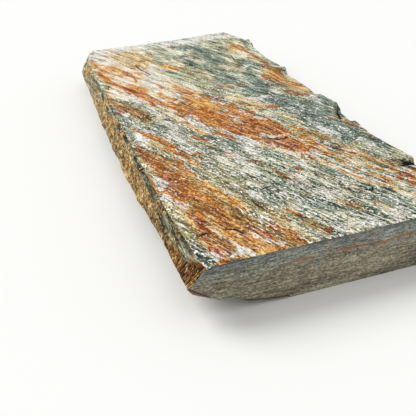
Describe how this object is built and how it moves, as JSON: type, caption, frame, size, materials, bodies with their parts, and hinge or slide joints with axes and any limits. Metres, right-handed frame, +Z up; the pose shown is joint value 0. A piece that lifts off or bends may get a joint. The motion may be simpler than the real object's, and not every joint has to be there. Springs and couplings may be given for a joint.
{
  "type": "slate slab",
  "caption": "Long riven slate slab, rust streaked along its grain, with both ends sawn square, a bevelled broken left side and a layered broken right side.",
  "frame": {"origin": "middle of the slab's box, on the flat underside that it rests on", "axes": "+Y along the slab, away from the sawn front end; +X across it, to the right seen from that end; +Z up through its thickness"},
  "size_m": [0.2132, 0.47, 0.037],
  "materials": {
    "riven_slate": "riven, matt, grey-green with rust and pale streaks"
  },
  "bodies": {
    "root": {"slab": "riven_slate"}
  },
  "joints": []
}
